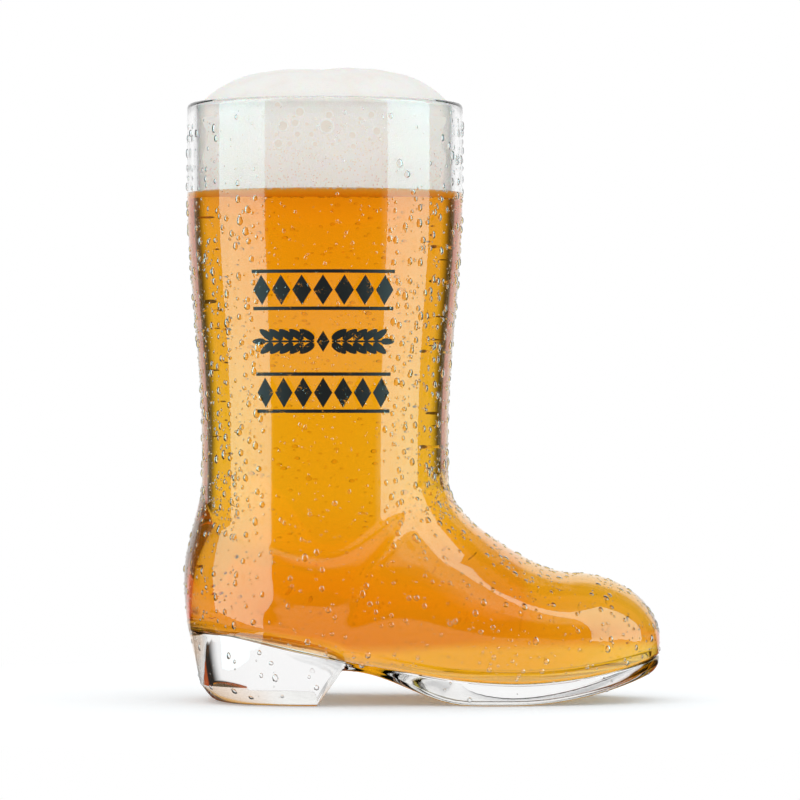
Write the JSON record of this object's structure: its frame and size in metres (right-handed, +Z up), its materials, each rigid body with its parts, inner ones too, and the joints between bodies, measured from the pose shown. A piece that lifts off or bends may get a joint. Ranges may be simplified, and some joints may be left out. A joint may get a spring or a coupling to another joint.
{
  "type": "beer boot glass",
  "caption": "Clear boot-shaped beer glass with a thick heel and sole, filled with amber beer under a domed head of foam.",
  "frame": {"origin": "middle of the footprint on the table, under the glass", "axes": "+Z up along the shaft, +X from heel to toe, +Y to the boot's left; the glass is symmetric about Y = 0"},
  "size_m": [0.1386, 0.0804, 0.1843],
  "materials": {
    "glass": "clear, smooth soda-lime glass, wet with condensation",
    "beer": null,
    "foam": null
  },
  "bodies": {
    "root": {"boot_glass": "glass", "beer": "beer", "foam_head": "foam"}
  },
  "joints": []
}
